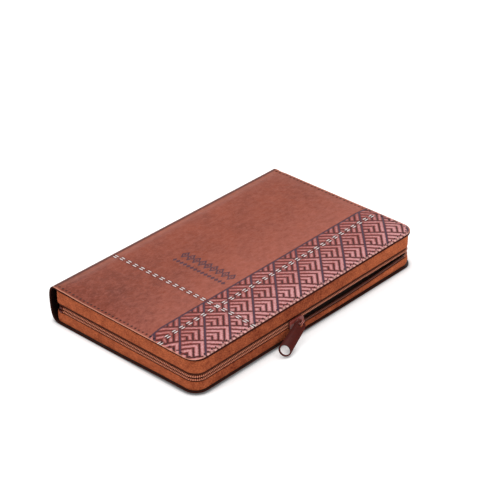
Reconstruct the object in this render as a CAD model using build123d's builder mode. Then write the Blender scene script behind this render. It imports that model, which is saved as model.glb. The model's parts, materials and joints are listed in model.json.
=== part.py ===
from build123d import *
from math import pi
import os

# Zippered leatherette Bible, closed and lying on its back cover, in millimetres.
# X runs from the spine to the fore edge, Y from the tail to the head, and Z up.
# The origin is on the table, under the middle of the case.

# The closed case.
case_length = 216.0
case_width = 132.0
case_thickness = 27.0
corner_radius = 10.0
fold_radius = 5.0

# What the covers and the spine are made of, from outside in.
leather = 0.9
board = 1.2
lining = 0.3
pastedown = 0.2
rim_radius = 0.7
turned_edge = 2.4
board_joint = 4.5
spine_board = 0.8
spine_board_margin = 1.0

# The page block. Its front half is in leaf groups that turn about the middle of its spine edge.
page_end_margin = 10.0
page_fore_margin = 8.0
page_corner = 6.0
leaf_joint = 3.0
leaf_groups = 4
leaf_gap = 0.25
flyleaf = 0.25
pastedown_gap = 0.45

# The gusset and the zipper that close the three open sides.
gusset = 0.5
tape = 0.5
chain_inset = 2.0
gusset_start = 1.0
chain_start = 6.0
chain_height = 11.3
upper_edge_gap = 1.6
lower_edge_gap = 0.4
tape_depth = 6.0
tape_seat_gap = 0.7

# One row of zipper teeth.
row_thickness = 2.4
row_height = 2.8
tooth_pitch = 2.0
tooth_tip = 0.7
tooth_root = 1.1
tooth_mesh = 1.2
tooth_clearance = 0.1
corner_tooth = 0.8

# How far the lower row hangs below the upper one, at the slider's nose and in the open stretch.
nose_drop = 2.9
open_drop = 3.8
opening_ramp = 40.0

# The slider.
slider_place = -15.0
slider_length = 14.0
slider_plate = 0.8
slider_flange = 0.6
slider_clearance = 0.2
slot_clearance = 0.3
closed_mouth = 2.5
post_length = 4.0
slider_tail_corner = 1.2
slider_nose_corner = 3.6
post_setback = 0.6

# The bridge on the slider, and the pull that hangs in it.
bar_radius = 0.5
bar_standoff = 2.8
bar_shift = 1.5
bridge_inner = 1.3
bridge_outer = 2.2
bridge_width = 1.4
pull_heading = -76.6
pull_drop = 18.4
pull_roll = 33.4
pull_reach = 24.1
pull_half_width = 4.7
pull_hole_radius = 3.4
pull_thickness = 1.2
eye_half_width = 2.6
eye_corner = 0.8
shoulder_half_width = 3.7
shoulder_place = 3.0
window_half_width = 1.4
window_end = 5.0

# The stops at the ends of the rows.
stop_length = 2.2

# Places worked out from the sizes.
cover = leather + board + lining
spine_face = -case_width / 2
fore_face = case_width / 2
half_length = case_length / 2
hinge_x = spine_face + fold_radius
upper_hinge = case_thickness - fold_radius
middle = case_thickness / 2
chain_x = fore_face - chain_inset
chain_radius = corner_radius - chain_inset
bend_x = fore_face - corner_radius
bend_y = half_length - corner_radius
half_chain = row_height - tooth_mesh / 2
gullet = tooth_mesh / 2 + tooth_clearance
row_start = hinge_x + chain_start

page_spine = hinge_x + leaf_joint
page_width = fore_face - page_fore_margin - page_spine
page_length = case_length - 2 * page_end_margin
block_bottom = cover + pastedown + pastedown_gap + flyleaf + leaf_gap
block_top = case_thickness - block_bottom
group_pitch = (block_top - middle) / leaf_groups

nose_y = slider_place + slider_length / 2
closed_y = slider_place - closed_mouth


def panel_plan(height, inset=0.0, spine_edge=hinge_x):
    """Plan of a cover panel, square at the spine and rounded at the fore edge."""
    width = fore_face - inset - spine_edge
    with BuildSketch(Plane.XY.offset(height)) as plan:
        with Locations((spine_edge + width / 2, 0)):
            Rectangle(width, case_length - 2 * inset)
        fillet(plan.vertices().group_by(Axis.X)[-1], corner_radius - inset)
    return plan.sketch


def page_plan(height):
    """Plan of the leaves, with rounded fore corners."""
    with BuildSketch(Plane.XY.offset(height)) as plan:
        with Locations((page_spine + page_width / 2, 0)):
            Rectangle(page_width, page_length)
        fillet(plan.vertices().group_by(Axis.X)[-1], page_corner)
    return plan.sketch


def band_plan(height, inset, thickness, start=gusset_start):
    """Plan of a strip that runs round the tail, the fore edge and the head."""
    spine_end = hinge_x + start
    inner = inset + thickness
    with BuildSketch(Plane.XY.offset(height)) as plan:
        add(panel_plan(0, inset, spine_end))
        add(panel_plan(0, inner, spine_end - corner_radius), mode=Mode.SUBTRACT)
    return plan.sketch


def row_drop(y):
    """How far the lower row hangs below its closed place at y, along the fore edge."""
    at_nose = (y - closed_y) / (nose_y - closed_y)
    past_nose = (y - nose_y) / opening_ramp
    return nose_drop * min(max(at_nose, 0.0), 1.0) + (open_drop - nose_drop) * min(max(past_nose, 0.0), 1.0)


def row_height_at(y, upper):
    """Height of a row's meshing line at y."""
    return chain_height if upper else chain_height - row_drop(y)


def row_knees(upper):
    """Places along the fore edge where a row changes direction."""
    return [] if upper else [closed_y, nose_y, nose_y + opening_ramp]


def row_line(upper, offset):
    """Points along the whole fore side at an offset from a row's meshing line, away from its mate."""
    side = 1 if upper else -1
    places = (-case_length, *row_knees(upper), case_length)
    return [(y, row_height_at(y, upper) + side * offset) for y in places]


def beyond_row(upper, offset):
    """Upright cutter over everything on the chain's side of a line that follows a row."""
    far_height = 0 if upper else case_thickness
    with BuildSketch(Plane.YZ) as cutter:
        line = row_line(upper, offset)
        Polygon(*line, (case_length, far_height), (-case_length, far_height), align=None)
    return cutter.sketch


def comb(upper, first, last, early, height_at, knees=()):
    """Outline of a straight run of teeth, with a flat back and tapered teeth."""
    side = 1 if upper else -1
    teeth = int((last - first) / tooth_pitch)
    pitch = (last - first) / teeth
    phase = 0.25 if early else 0.75
    points = []
    for number in range(teeth):
        centre = first + (number + phase) * pitch
        root_before = centre - tooth_root / 2
        root_after = centre + tooth_root / 2
        tip_height = height_at(centre) - side * tooth_mesh / 2
        points.append((root_before, height_at(root_before) + side * gullet))
        points.append((centre - tooth_tip / 2, tip_height))
        points.append((centre + tooth_tip / 2, tip_height))
        points.append((root_after, height_at(root_after) + side * gullet))
    back = [last, *reversed(knees), first]
    start = (first, height_at(first) + side * gullet)
    end = (last, height_at(last) + side * gullet)
    return [start, *points, end, *[(y, height_at(y) + side * half_chain) for y in back]]


def run_plane(side_y):
    """Upright plane along the tail or the head, with its X towards the fore edge."""
    return Plane(origin=(0, side_y, 0), x_dir=(1, 0, 0), z_dir=(0, -1, 0))


def teeth_row(upper):
    """One whole row of teeth: tail run, corner, fore run, corner and head run."""
    side = 1 if upper else -1
    run_y = half_length - chain_inset
    tail_height = row_height_at(-run_y, upper)
    head_height = row_height_at(run_y, upper)
    with BuildPart() as row:
        with BuildSketch(Plane.YZ.offset(chain_x)) as fore_run:
            height_at = lambda y: row_height_at(y, upper)
            teeth = comb(upper, -bend_y, bend_y, not upper, height_at, row_knees(upper))
            Polygon(*teeth, align=None)
        extrude(amount=row_thickness / 2, both=True)
        for run_side, height, early in (
            (-run_y, tail_height, not upper),
            (run_y, head_height, upper),
        ):
            with BuildSketch(run_plane(run_side)) as run:
                Polygon(*comb(upper, row_start, bend_x, early, lambda x: height), align=None)
            extrude(amount=row_thickness / 2, both=True)
        for bend_side, height, turn in ((-bend_y, tail_height, -90), (bend_y, head_height, 0)):
            low = min(height + side * gullet, height + side * half_chain)
            with BuildSketch(Plane.XY.offset(low)) as bend:
                with Locations((bend_x, bend_side)):
                    Circle(chain_radius + row_thickness / 2)
                    Circle(chain_radius - row_thickness / 2, mode=Mode.SUBTRACT)
                with Locations((bend_x + corner_radius / 2, bend_side + (turn / 90 + 0.5) * corner_radius)):
                    Rectangle(corner_radius, corner_radius, mode=Mode.INTERSECT)
            extrude(amount=half_chain - gullet)
            corner_teeth = int(chain_radius * pi / 2 / tooth_pitch)
            step = 90 / corner_teeth
            first_tooth = turn + step * (0.75 if upper else 0.25)
            tooth_reach = gullet + tooth_mesh / 2
            centre_height = height + side * (gullet - tooth_reach / 2)
            with Locations((bend_x, bend_side, centre_height)):
                with PolarLocations(chain_radius, corner_teeth, first_tooth, 90 - step, endpoint=True):
                    Box(row_thickness, corner_tooth, tooth_reach)
    return row.part


# ---- Covers and spine ----

with BuildPart() as back_cover_leather:
    extrude(panel_plan(0), amount=cover)
    rim = back_cover_leather.faces().sort_by(Axis.Z)[0].edges().filter_by(
        lambda edge: edge.center().X > hinge_x + leather)
    fillet(rim, rim_radius)
    extrude(panel_plan(leather, turned_edge), amount=board + lining, mode=Mode.SUBTRACT)
back_cover_leather.part.label = "back_cover_leather"

with BuildPart() as front_cover_leather:
    add(back_cover_leather.part.mirror(Plane.XY.offset(middle)))
front_cover_leather.part.label = "front_cover_leather"

with BuildPart() as back_cover_board:
    extrude(panel_plan(leather, turned_edge, hinge_x + board_joint), amount=board)
back_cover_board.part.label = "back_cover_board"

with BuildPart() as front_cover_board:
    add(back_cover_board.part.mirror(Plane.XY.offset(middle)))
front_cover_board.part.label = "front_cover_board"

with BuildPart() as back_cover_lining:
    extrude(panel_plan(leather + board, turned_edge), amount=lining)
back_cover_lining.part.label = "back_cover_lining"

with BuildPart() as front_cover_lining:
    add(back_cover_lining.part.mirror(Plane.XY.offset(middle)))
front_cover_lining.part.label = "front_cover_lining"

with BuildPart() as spine_leather:
    with Locations((spine_face + leather / 2, 0, middle)):
        Box(leather, case_length, upper_hinge - fold_radius)
spine_leather.part.label = "spine_leather"

with BuildPart() as spine_board_strip:
    with Locations((spine_face + leather + spine_board / 2, 0, middle)):
        Box(spine_board, case_length - 2 * leather, upper_hinge - fold_radius - 2 * spine_board_margin)
spine_board_strip.part.label = "spine_board"

# The leather bends round the two folds between the spine and the covers.
with BuildPart() as back_fold_leather:
    with BuildSketch(Plane.XZ) as fold_section:
        with Locations((hinge_x, fold_radius)):
            Circle(fold_radius)
            Circle(fold_radius - leather, mode=Mode.SUBTRACT)
        with Locations((hinge_x - fold_radius / 2, fold_radius / 2)):
            Rectangle(fold_radius, fold_radius, mode=Mode.INTERSECT)
    extrude(amount=half_length, both=True)
back_fold_leather.part.label = "back_fold_leather"

with BuildPart() as front_fold_leather:
    add(back_fold_leather.part.mirror(Plane.XY.offset(middle)))
front_fold_leather.part.label = "front_fold_leather"

# ---- Gussets ----

with BuildPart() as lower_gusset:
    extrude(band_plan(cover, chain_inset - gusset, gusset), amount=chain_height - cover)
    beyond_edge = beyond_row(False, half_chain + lower_edge_gap)
    extrude(beyond_edge, amount=case_width, both=True, mode=Mode.SUBTRACT)
lower_gusset.part.label = "lower_gusset"

with BuildPart() as upper_gusset:
    gusset_top = case_thickness - cover
    extrude(band_plan(chain_height, chain_inset - gusset, gusset), amount=gusset_top - chain_height)
    beyond_edge = beyond_row(True, half_chain + upper_edge_gap)
    extrude(beyond_edge, amount=case_width, both=True, mode=Mode.SUBTRACT)
upper_gusset.part.label = "upper_gusset"

# ---- Zipper tapes and teeth ----

with BuildPart() as lower_zip_tape:
    tape_foot = cover + tape_seat_gap
    tape_edge = chain_height - half_chain
    extrude(band_plan(tape_foot, chain_inset, tape), amount=tape_edge - tape_foot)
    extrude(beyond_row(False, half_chain), amount=case_width, both=True, mode=Mode.SUBTRACT)
lower_zip_tape.part.label = "lower_zip_tape"

with BuildPart() as upper_zip_tape:
    tape_edge = chain_height + half_chain
    extrude(band_plan(tape_edge, chain_inset, tape), amount=tape_depth)
    extrude(beyond_row(True, half_chain), amount=case_width, both=True, mode=Mode.SUBTRACT)
upper_zip_tape.part.label = "upper_zip_tape"

with BuildPart() as lower_zip_teeth:
    add(teeth_row(False))
lower_zip_teeth.part.label = "lower_zip_teeth"

with BuildPart() as upper_zip_teeth:
    add(teeth_row(True))
upper_zip_teeth.part.label = "upper_zip_teeth"


def row_stops(upper):
    """Two folded metal stops that close a row's spine ends."""
    side = 1 if upper else -1
    run_y = half_length - chain_inset
    stop_x = row_start - stop_length / 2
    with BuildPart() as stops:
        for run_side in (-run_y, run_y):
            height = row_height_at(run_side, upper) + side * (half_chain + gullet) / 2
            with Locations((stop_x, run_side, height)):
                Box(stop_length, row_thickness, half_chain - gullet)
    return stops.part


with BuildPart() as lower_zip_stops:
    add(row_stops(False))
lower_zip_stops.part.label = "lower_zip_stops"

with BuildPart() as upper_zip_stops:
    add(row_stops(True))
upper_zip_stops.part.label = "upper_zip_stops"

# ---- Slider ----

mouth = half_chain + slider_clearance
channel_depth = row_thickness + 2 * slider_clearance
plate_face = chain_x + channel_depth / 2 + slider_plate
slot = gusset + tape + 2 * slot_clearance
half_slider = slider_length / 2


def slider_outline(margin, reach=0.0):
    """Plan of the slider seen from outside: straight on top, and wider below at the nose."""
    nose_slope = nose_drop / (half_slider + closed_mouth)
    ends = (-half_slider - reach, -closed_mouth, half_slider + reach)
    drops = (0.0, 0.0, nose_drop + nose_slope * reach)
    top = [(slider_place + y, chain_height + mouth + margin) for y in ends]
    bottom = [(slider_place + y, chain_height - mouth - drop - margin) for y, drop in zip(ends, drops)]
    return [*top, *reversed(bottom)]


with BuildPart() as slider_body:
    with BuildSketch(Plane.YZ.offset(chain_x - channel_depth / 2 - slider_plate)) as slider_plan:
        Polygon(*slider_outline(slider_flange), align=None)
        fillet(slider_plan.vertices().group_by(Axis.X)[0], slider_tail_corner)
        fillet(slider_plan.vertices().group_by(Axis.X)[-1], slider_nose_corner)
    extrude(amount=channel_depth + 2 * slider_plate)
    with BuildSketch(Plane.YZ.offset(chain_x)) as channel_plan:
        Polygon(*slider_outline(0, half_slider), align=None)
    extrude(amount=channel_depth / 2, both=True, mode=Mode.SUBTRACT)
    with BuildSketch(Plane.YZ.offset(chain_x)) as slot_plan:
        with Locations((slider_place, chain_height)):
            Rectangle(2 * slider_length, 2 * slider_length)
    extrude(amount=slot / 2, both=True, mode=Mode.SUBTRACT)
    with BuildSketch(Plane.YZ.offset(chain_x)) as post_plan:
        post_end = nose_y - post_setback
        post_gap = tooth_mesh / 2 + slider_clearance
        Polygon(
            (nose_y - post_length, chain_height - post_gap),
            (post_end, chain_height - post_gap),
            (post_end, chain_height - nose_drop + post_gap),
            align=None,
        )
    extrude(amount=channel_depth / 2, both=True)
    wide_faces = slider_body.faces().filter_by(Axis.X)
    outer_rim = wide_faces.sort_by(Axis.X)[-1].edges()
    fillet(outer_rim, slider_plate / 2)
slider_body.part.label = "slider_body"

# ---- Bridge and pull ----

pull_way = Vector(1, 0, 0).rotate(Axis.Y, pull_drop).rotate(Axis.Z, pull_heading)
pull_bar = Vector(0, 1, 0).rotate(Axis.Z, pull_heading)
pull_bar = pull_bar.rotate(Axis((0, 0, 0), pull_way), -pull_roll)
bar_place = Vector(plate_face + bar_standoff, slider_place + bar_shift, chain_height)
bridge_out = (Vector(1, 0, 0) - pull_bar * pull_bar.X).normalized()
pull_plane = Plane(origin=bar_place, x_dir=pull_bar, z_dir=pull_bar.cross(pull_way))
bridge_plane = Plane(origin=bar_place, x_dir=bridge_out, z_dir=pull_bar)

with BuildPart() as slider_bridge:
    with BuildSketch(bridge_plane) as loop:
        leg = 3 * bridge_outer
        Circle(bridge_outer)
        with Locations((-leg / 2, 0)):
            Rectangle(leg, 2 * bridge_outer)
        Circle(bridge_inner, mode=Mode.SUBTRACT)
        with Locations((-leg / 2, 0)):
            Rectangle(leg, 2 * bridge_inner, mode=Mode.SUBTRACT)
    extrude(amount=bridge_width / 2, both=True)
    split(bisect_by=Plane.YZ.offset(plate_face), keep=Keep.TOP)
slider_bridge.part.label = "slider_bridge"

with BuildPart() as zip_pull:
    with BuildSketch(pull_plane) as pull_plan:
        with BuildLine():
            end = pull_reach
            left = Polyline(
                (-pull_half_width, end),
                (-shoulder_half_width, shoulder_place),
                (-eye_half_width, -bar_radius),
                (eye_half_width, -bar_radius),
                (shoulder_half_width, shoulder_place),
                (pull_half_width, end),
            )
            ThreePointArc(left @ 1, (0, end + pull_half_width), left @ 0)
        make_face()
        fillet(pull_plan.vertices().group_by(Axis.Y)[0], eye_corner)
        with Locations((0, end)):
            Circle(pull_hole_radius, mode=Mode.SUBTRACT)
        with Locations((0, (bar_radius + window_end) / 2)):
            Rectangle(2 * window_half_width, window_end - bar_radius, mode=Mode.SUBTRACT)
    extrude(amount=pull_thickness / 2, both=True)
zip_pull.part.label = "zip_pull"

# ---- Pages ----

with BuildPart() as back_pastedown:
    extrude(panel_plan(cover, chain_inset + tape, hinge_x + board_joint), amount=pastedown)
back_pastedown.part.label = "back_pastedown"

with BuildPart() as front_pastedown:
    add(back_pastedown.part.mirror(Plane.XY.offset(middle)))
front_pastedown.part.label = "front_pastedown"

with BuildPart() as rear_leaves:
    extrude(page_plan(block_bottom), amount=middle - block_bottom - leaf_gap / 2)
rear_leaves.part.label = "rear_leaves"

front_leaves = []
for group in range(leaf_groups):
    with BuildPart() as leaves:
        bottom = middle + group * group_pitch + leaf_gap / 2
        extrude(page_plan(bottom), amount=group_pitch - leaf_gap)
    leaves.part.label = f"front_leaves_{group + 1}"
    front_leaves.append(leaves)

with BuildPart() as front_flyleaf:
    extrude(page_plan(block_top + leaf_gap / 2), amount=flyleaf)
front_flyleaf.part.label = "front_flyleaf"

with BuildPart() as back_flyleaf:
    extrude(page_plan(block_bottom - flyleaf), amount=flyleaf)
back_flyleaf.part.label = "back_flyleaf"

pieces = [
    back_cover_leather, back_cover_board, back_cover_lining, back_pastedown,
    front_cover_leather, front_cover_board, front_cover_lining, front_pastedown,
    spine_leather, spine_board_strip, back_fold_leather, front_fold_leather,
    lower_gusset, upper_gusset, lower_zip_tape, upper_zip_tape,
    lower_zip_teeth, upper_zip_teeth, lower_zip_stops, upper_zip_stops,
    slider_body, slider_bridge, zip_pull,
    rear_leaves, back_flyleaf, *front_leaves, front_flyleaf,
]

os.makedirs("parts", exist_ok=True)
for piece in pieces:
    export_step(piece.part, f"parts/{piece.part.label}.step")
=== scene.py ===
# zippered leatherette bible, lying closed on its back cover, in metres
import bpy
import bmesh
import json
import math
from functools import partial
from mathutils import Matrix, Vector, noise

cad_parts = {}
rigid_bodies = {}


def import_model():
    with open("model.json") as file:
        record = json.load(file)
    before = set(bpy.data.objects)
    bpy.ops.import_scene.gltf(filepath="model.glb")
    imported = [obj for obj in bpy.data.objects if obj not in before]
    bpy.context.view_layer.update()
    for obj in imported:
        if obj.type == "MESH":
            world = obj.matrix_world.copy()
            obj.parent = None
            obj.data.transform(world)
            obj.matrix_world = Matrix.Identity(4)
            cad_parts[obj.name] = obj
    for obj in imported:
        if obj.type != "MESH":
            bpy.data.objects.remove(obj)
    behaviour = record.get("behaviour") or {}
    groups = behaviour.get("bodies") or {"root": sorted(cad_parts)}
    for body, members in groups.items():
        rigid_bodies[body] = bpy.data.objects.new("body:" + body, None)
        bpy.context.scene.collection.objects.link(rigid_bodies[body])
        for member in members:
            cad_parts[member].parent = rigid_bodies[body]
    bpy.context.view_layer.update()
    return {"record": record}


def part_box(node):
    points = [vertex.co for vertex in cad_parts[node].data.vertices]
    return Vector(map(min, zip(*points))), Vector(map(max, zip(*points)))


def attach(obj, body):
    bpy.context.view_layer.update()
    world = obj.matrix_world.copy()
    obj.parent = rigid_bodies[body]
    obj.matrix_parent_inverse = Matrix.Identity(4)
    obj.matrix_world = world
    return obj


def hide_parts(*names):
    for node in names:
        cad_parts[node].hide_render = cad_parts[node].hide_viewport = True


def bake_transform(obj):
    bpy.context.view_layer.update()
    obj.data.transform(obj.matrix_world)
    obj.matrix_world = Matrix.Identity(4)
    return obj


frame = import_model()
mm = 0.001

print("bible: reading the frame")
coverLow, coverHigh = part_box("front_cover_leather")

# the case, in millimetres, from the frame
case = {
    "half": coverHigh.y / mm,
    "fore": coverHigh.x / mm,
    "hinge": coverLow.x / mm,
    "top": coverHigh.z / mm,
    "corner": 10.0,
    "seamStart": 1.0,  # the edge stitches start this far from the hinge
}
case["bendX"] = case["fore"] - case["corner"]
case["bendY"] = case["half"] - case["corner"]


def toLinear(hexColour):
    channels = [int(hexColour[i:i + 2], 16) / 255 for i in (1, 3, 5)]
    linear = [c / 12.92 if c <= 0.04045 else ((c + 0.055) / 1.055) ** 2.4 for c in channels]
    return (*linear, 1.0)


def addNode(owner, kind, *values, output="", **settings):
    # a second word in kind is the node's operation or data type, as in "Mix RGBA", and a kind
    # in capitals is a maths operation; the values fill the sockets in use, in order, or one
    # dictionary names them; a string is a hex colour
    kind, *choice = kind.split() if not kind.isupper() else ("Math", kind)
    node = owner.node_tree.nodes.new("ShaderNode" + kind)
    for word in choice:
        setattr(node, "operation" if hasattr(node, "operation") else "data_type", word)
    for name, value in settings.items():
        setattr(node, name, value)
    if values and isinstance(values[0], dict):
        pairs = [(node.inputs[name], value) for name, value in values[0].items()]
    else:
        pairs = list(zip([socket for socket in node.inputs if socket.enabled], values))
    for socket, value in pairs:
        if isinstance(value, bpy.types.NodeSocket):
            owner.node_tree.links.new(value, socket)
        else:
            socket.default_value = toLinear(value) if isinstance(value, str) else value
    given = [socket for socket in node.outputs if socket.enabled and output in ("", socket.name)]
    return given[0] if given else None


def newMaterial(name):
    material = bpy.data.materials.new(name)
    material.use_nodes = True
    material.node_tree.nodes.clear()
    return partial(addNode, material)


def finishMaterial(add, bump=None, **sockets):
    # bump is a height, its strength, and its depth in metres
    links = {name.replace("_", " "): value for name, value in sockets.items()}
    if bump:
        links["Normal"] = add("Bump", dict(zip(("Height", "Strength", "Distance"), bump)))
    add("OutputMaterial", add("BsdfPrincipled", links))
    return add.args[0]     # the material itself


def millimetres(add, source=None):
    # the piece's own coordinates, or the given ones, turned to millimetres
    if source is None:
        source = add("TexCoord", output="Object")
    return add("VectorMath SCALE", source, 1 / mm)


def softLine(add, distance, width, blur):
    # 1 on the line, 0 away from it
    return add(
        "MapRange", distance, width / 2 + blur, width / 2 - blur, interpolation_type="SMOOTHSTEP")


def apart(add, place, other):
    return add("ABSOLUTE", add("SUBTRACT", place, other))


def fromMark(add, turn, pitch):
    # distance from the nearest of the marks that come at every whole turn
    return add("MULTIPLY", add("PINGPONG", turn, 0.5), pitch)


def rimDistance(add, x, y):
    # millimetres inward from the cover's outline, with its round fore corners
    overX = add("SUBTRACT", x, case["bendX"])
    overY = add("SUBTRACT", add("ABSOLUTE", y), case["bendY"])
    outX = add("MAXIMUM", overX, 0.0)
    outY = add("MAXIMUM", overY, 0.0)
    squares = add("MULTIPLY_ADD", outX, outX, add("MULTIPLY", outY, outY))
    outside = add("SQRT", squares)
    inside = add("MINIMUM", add("MAXIMUM", overX, overY), 0.0)
    return add("SUBTRACT", case["corner"], add("ADD", outside, inside))


def rimInset(x, y):
    # the same distance as a plain number
    overX, overY = x - case["bendX"], abs(y) - case["bendY"]
    if overX > 0 and overY > 0:
        return case["corner"] - math.hypot(overX, overY)
    return case["corner"] - max(overX, overY)


def edgeRuns(inset):
    # lengths of tail, corner, fore edge, corner and head at this inset
    bend = (case["corner"] - inset) * math.pi / 2
    side = case["bendX"] - case["hinge"] - case["seamStart"]
    return [side, bend, 2 * case["bendY"], bend, side]


def edgeWalk(inset, pitch):
    # even places along tail, corner, fore edge, corner and head, and the heading at each
    runs = edgeRuns(inset)
    radius = case["corner"] - inset
    count = int(sum(runs) / pitch)
    for i in range(count):
        left = (i + 0.5) * sum(runs) / count
        x, y, heading = case["hinge"] + case["seamStart"], inset - case["half"], 0.0
        for part, run in enumerate(runs):
            gone = min(left, run)
            left -= gone
            if part % 2:     # a quarter turn
                after = heading + gone / radius
                x += radius * (math.sin(after) - math.sin(heading))
                y += radius * (math.cos(heading) - math.cos(after))
                heading = after
            else:
                x += gone * math.cos(heading)
                y += gone * math.sin(heading)
        yield x, y, heading


def isFold(edge, angle):
    # whether its two faces meet at more than this, in radians
    return len(edge.link_faces) == 2 and edge.calc_face_angle(0) > angle


def newPiece(name, bm, materials, sharpAngle=50, scale=1):
    bmesh.ops.scale(bm, verts=bm.verts[:], vec=(scale, scale, scale))
    for face in bm.faces:
        face.smooth = True
    for edge in bm.edges:
        if isFold(edge, math.radians(sharpAngle)):
            edge.smooth = False
    mesh = bpy.data.meshes.new(name)
    bm.to_mesh(mesh)
    bm.free()
    piece = bpy.data.objects.new(name, mesh)
    bpy.context.collection.objects.link(piece)
    for material in materials:
        mesh.materials.append(material)
    return piece


view = {
    "eye": (0.69272, -0.74812, 0.64465),
    "aim": (-0.0326, 0.04872, 0.0),
    "lens": 129.6,
    "sensor": 36.0,
    "reach": 20,
}
cameraData = bpy.data.cameras.new("camera")
cameraData.lens = view["lens"]
cameraData.sensor_width = view["sensor"]
cameraData.clip_end = view["reach"]
camera = bpy.data.objects.new("camera", cameraData)
bpy.context.collection.objects.link(camera)
camera.location = view["eye"]
aimLine = Vector(view["aim"]) - Vector(view["eye"])
camera.rotation_euler = aimLine.to_track_quat("-Z", "Y").to_euler()
bpy.context.scene.camera = camera
bpy.context.scene.view_settings.view_transform = "Standard"

studio = {
    "worldStrength": 0.5,
    "lamps": [
        {"name": "leftBox", "place": (-0.7, -1.25, 1.1), "size": 0.9, "power": 10.0},
        {"name": "rightBox", "place": (1.35, 0.1, 0.9), "size": 0.9, "power": 7.0},
        {"name": "topBox", "place": (-0.25, 0.1, 1.5), "size": 1.0, "power": 5.0},
    ],
    "floorSize": 6.0,
    "floorLift": 0.5,
    "floorColours": ("#8d8d90", "#ececec"),  # painted contact shadow under the book's edge, and the open floor away from it
    "paintedShadowReach": 0.005,  # how far from an edge the painted contact shadow reaches, in metres
    "floorShade": (0.45, 0.95, 0.12, 1.0),
}
white = (1, 1, 1, 1)


def lookedAt(add):
    # 1 for rays that look: from the camera, off gloss or through glass
    looks = ("Is Camera Ray", "Is Glossy Ray", "Is Transmission Ray")
    camera, glossy, through = [add("LightPath", output=name) for name in looks]
    return add("MAXIMUM", add("MAXIMUM", camera, glossy), through)


world = bpy.data.worlds.new("studioRoom")
bpy.context.scene.world = world
world.use_nodes = True
world.node_tree.nodes.clear()
add = partial(addNode, world)
strength = studio["worldStrength"]
strength = add("MULTIPLY_ADD", lookedAt(add), 1 - strength, strength)
add("OutputWorld", add("Background", white, strength))

for lamp in studio["lamps"]:
    lampData = bpy.data.lights.new(lamp["name"], "AREA")
    lampData.shape = "SQUARE"
    lampData.size = lamp["size"]
    lampData.energy = lamp["power"]
    lampObject = bpy.data.objects.new(lamp["name"], lampData)
    bpy.context.collection.objects.link(lampObject)
    lampObject.location = lamp["place"]
    lampObject.rotation_euler = (-Vector(lamp["place"])).to_track_quat("-Z", "Y").to_euler()

# matt white paper sweep: pale, no gloss, lifted to white for what looks at it; near the book its
# colour and its lift are darkened into a painted contact shadow
add = newMaterial("whitePaperSweep")
near = add("AmbientOcclusion", {"Distance": studio["paintedShadowReach"]}, samples=8, output="AO")
near = add("MapRange", near, *studio["floorShade"])
lift = add("MULTIPLY", add("MULTIPLY", lookedAt(add), studio["floorLift"]), near)
paintedShadowColour, openFloor = studio["floorColours"]
paperSweep = finishMaterial(
    add, Base_Color=add("Mix RGBA", near, paintedShadowColour, openFloor), Roughness=0.9,
    Specular_IOR_Level=0.0, Emission_Color=white, Emission_Strength=lift)
bm = bmesh.new()
bmesh.ops.create_grid(bm, x_segments=1, y_segments=1, size=studio["floorSize"])
floor = newPiece("floor", bm, [paperSweep])
print("bible: studio ready")

stitching = {
    "edgeInset": 2.7,
    "edgePitch": 3.3,
    "edgeSize": (0.95, 0.5, 0.22),  # half length, half width, half height
    "edgeLean": 0.7,  # each stitch lies aslant, in radians
    "edgeSunk": 0.02,
    "backFace": 0.24,
    "crossRow": -55.1,
    "crossStart": -57.9,
    "crossPitch": 6.11,
    "crossMarks": 21,
    "longRow": 34.05,
    "longLean": -0.0035,
    "longStart": -106.6,
    "longPitch": 6.44,
    "longMarks": 33,
    "dashSize": (1.85, 0.44, 0.3),
    "dashGap": 1.9,
    "dashProud": 0.06,
    "stitchShadow": (4.3, 5.2),  # size of the painted shadow across and along each double stitch
    "stitchShadowBlur": 0.5,
}
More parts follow.
